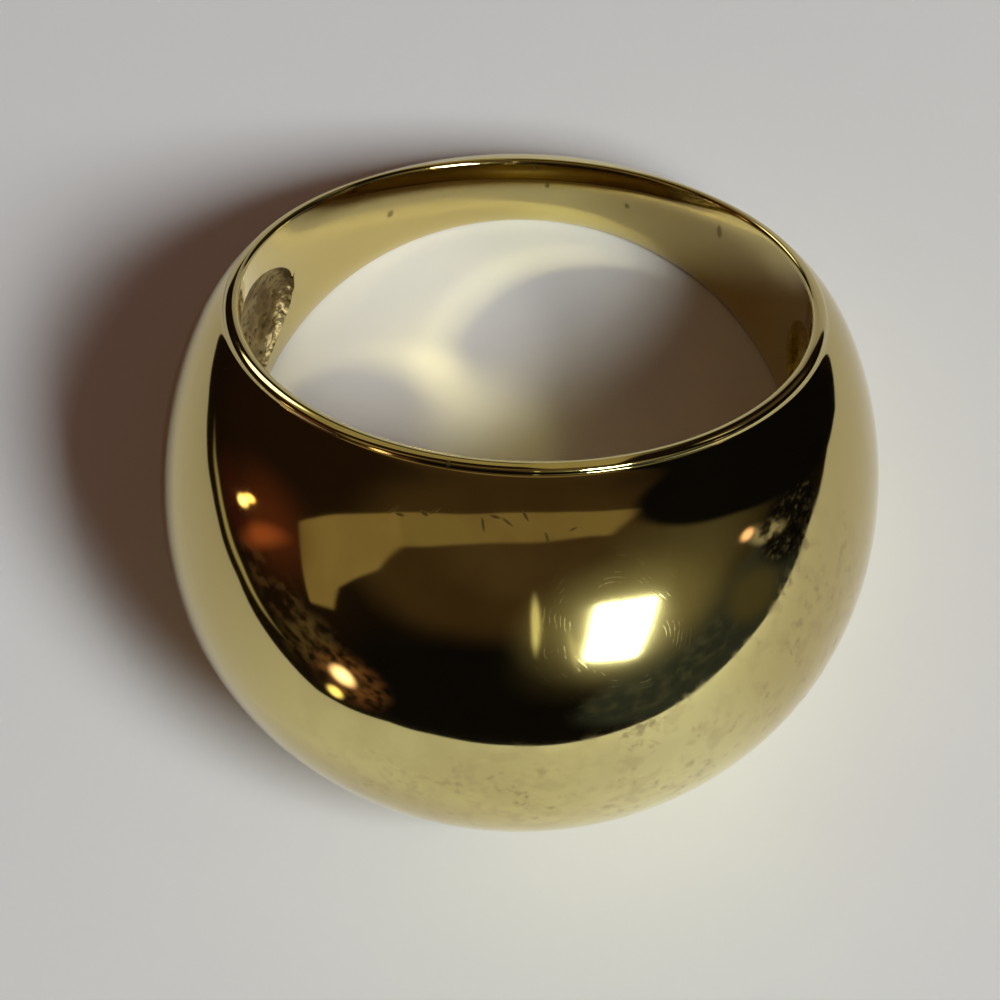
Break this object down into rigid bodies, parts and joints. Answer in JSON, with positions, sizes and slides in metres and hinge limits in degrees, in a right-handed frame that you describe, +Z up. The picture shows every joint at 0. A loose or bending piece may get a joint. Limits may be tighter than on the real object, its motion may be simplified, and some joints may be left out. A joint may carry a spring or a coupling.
{
  "type": "dome ring",
  "caption": "Wide finger ring cast in one piece: a smooth high dome, scooped hollow underneath, that tapers to a narrow band behind the finger.",
  "frame": {"origin": "centre of the ring's bounding box, on the surface that its lower rim lies on", "axes": "+Z up from the surface, -Y towards the dome, +Y towards the narrow back of the band, X across the finger hole"},
  "size_m": [0.0222, 0.0252, 0.0134],
  "materials": {
    "gold": "mirror-polished yellow gold"
  },
  "bodies": {
    "root": {"ring": "gold"}
  },
  "joints": []
}
